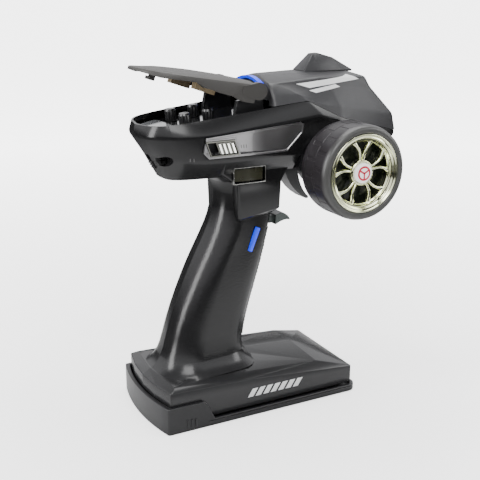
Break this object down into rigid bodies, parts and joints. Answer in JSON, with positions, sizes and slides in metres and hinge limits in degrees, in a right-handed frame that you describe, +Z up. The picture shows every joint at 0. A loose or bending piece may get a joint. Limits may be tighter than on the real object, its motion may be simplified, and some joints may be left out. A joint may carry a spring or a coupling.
{
  "type": "radio transmitter controller",
  "caption": "Pistol-grip radio transmitter with a side steering wheel, finger trigger, hinged lid over trim knobs, side switches and a cell-holding base under a curved hand grip",
  "frame": {"origin": "centre of the base's length and width, on the table plane under the battery cover", "axes": "+X forwards, the way the wheel rolls and the hood points; +Z up; -Y is the user's right, where the steering wheel is"},
  "size_m": [0.1545, 0.096, 0.1891],
  "materials": {
    "body_black": "smooth black moulded plastic, semi-gloss",
    "hood_grey": "fine-grained dark grey plastic",
    "panel_black": "gloss black",
    "rest_tan": "plain tan plastic",
    "window": "tinted clear plastic over the status lights",
    "light_blue": "translucent blue light guide",
    "chrome_trim": "bright plated",
    "wheel_chrome": "warm champagne plated",
    "knob_black": "fine-grained black",
    "button_dark": "dark olive gloss",
    "grip_rubber": "textured soft rubber",
    "hook_grey": "satin grey green plastic",
    "tyre_rubber": "soft foam rubber with a smooth skin",
    "dark_backing": "dull black",
    "cap_white": "white gloss",
    "steel": "bright steel",
    "bush_brass": "sintered",
    "pot_grey": "potentiometer bodies",
    "board_green": "glass-fibre circuit board",
    "switch_black": "switch bodies",
    "antenna_lead": "sleeved lead",
    "lead_red": "insulated lead",
    "cell_green": "plain wrapped cells",
    "tray_black": "ribbed black",
    "cover_black": "satin black"
  },
  "bodies": {
    "chassis": {"right_shell": "body_black", "left_shell": "body_black", "hood": "hood_grey", "antenna_fin": "hood_grey", "hood_light": "light_blue", "control_panel": "panel_black", "panel_window": "window", "hinge_brackets": "knob_black", "right_side_trim": "panel_black", "left_side_trim": "panel_black", "switch_bezel": "chrome_trim", "button_bezel": "chrome_trim", "right_grip_light": "light_blue", "left_grip_light": "light_blue", "finger_rest": "hook_grey", "front_grip": "grip_rubber", "case_screws": "steel", "steering_housing": "body_black", "steering_bushes": "bush_brass", "steering_pot": "pot_grey", "steering_spring": "steel", "trigger_bracket": "knob_black", "trigger_pin": "steel", "trigger_pot": "pot_grey", "trigger_spring": "steel", "panel_board": "board_green", "panel_pots": "pot_grey", "main_board": "board_green", "side_switch_body": "switch_black", "button_switch_body": "switch_black", "power_switch_body": "switch_black", "speaker": "switch_black", "rf_antenna": "antenna_lead", "battery_tray": "tray_black", "battery_cells": "cell_green", "battery_contacts": "steel", "battery_springs": "steel", "grip_lead": "lead_red"},
    "steering_wheel": {"wheel_tyre": "tyre_rubber", "wheel_rim": "wheel_chrome", "wheel_backing": "dark_backing", "wheel_cap": "cap_white", "wheel_hub": "dark_backing", "steering_shaft": "steel"},
    "trigger_lever": {"trigger": "knob_black"},
    "lid": {"lid": "hood_grey", "lid_pins": "steel", "lid_latch": "hood_grey", "lid_rest": "rest_tan"},
    "knob_1": {"knob_1": "knob_black"},
    "knob_2": {"knob_2": "knob_black"},
    "knob_3": {"knob_3": "knob_black"},
    "knob_4": {"knob_4": "knob_black"},
    "side_slider": {"side_slider": "chrome_trim"},
    "rocker": {"rocker_button": "button_dark"},
    "power_slider": {"power_slider": "knob_black"},
    "battery_cover": {"battery_cover": "cover_black"}
  },
  "joints": [
    {"name": "steering", "type": "hinge", "parent": "chassis", "child": "steering_wheel", "pos_m": [0.0368, -0.05, 0.1358], "axis": [0, 1, 0], "range_deg": [-38, 38], "stiffness_Nm_per_rad": 0.12},
    {"name": "throttle", "type": "hinge", "parent": "chassis", "child": "trigger_lever", "pos_m": [0.028, 0, 0.139], "axis": [0, 1, 0], "range_deg": [-10, 20], "stiffness_Nm_per_rad": 0.08},
    {"name": "lid_hinge", "type": "hinge", "parent": "chassis", "child": "lid", "pos_m": [-0.00048, 0, 0.17354], "axis": [0, 1, 0], "range_deg": [-25.5, 40]},
    {"name": "knob_1_turn", "type": "hinge", "parent": "chassis", "child": "knob_1", "pos_m": [-0.03487, -0.009, 0.15879], "axis": [-0.1093, 0, 0.994], "range_deg": [-140, 140]},
    {"name": "knob_2_turn", "type": "hinge", "parent": "chassis", "child": "knob_2", "pos_m": [-0.02195, -0.009, 0.16021], "axis": [-0.1093, 0, 0.994], "range_deg": [-140, 140]},
    {"name": "knob_3_turn", "type": "hinge", "parent": "chassis", "child": "knob_3", "pos_m": [-0.03487, 0.009, 0.15879], "axis": [-0.1093, 0, 0.994], "range_deg": [-140, 140]},
    {"name": "knob_4_turn", "type": "hinge", "parent": "chassis", "child": "knob_4", "pos_m": [-0.02195, 0.009, 0.16021], "axis": [-0.1093, 0, 0.994], "range_deg": [-140, 140]},
    {"name": "side_switch_slide", "type": "slide", "parent": "chassis", "child": "side_slider", "axis": [1, 0, 0], "range_m": [-0.004, 0]},
    {"name": "rocker_press", "type": "hinge", "parent": "chassis", "child": "rocker", "pos_m": [-0.004, -0.0174, 0.1308], "axis": [0, 0, 1], "range_deg": [-4, 4], "stiffness_Nm_per_rad": 0.05},
    {"name": "power_slide", "type": "slide", "parent": "chassis", "child": "power_slider", "axis": [-0.4909, 0, 0.8712], "range_m": [0, 0.004]},
    {"name": "cover_slide", "type": "slide", "parent": "chassis", "child": "battery_cover", "axis": [-1, 0, 0], "range_m": [0, 0.11]}
  ]
}
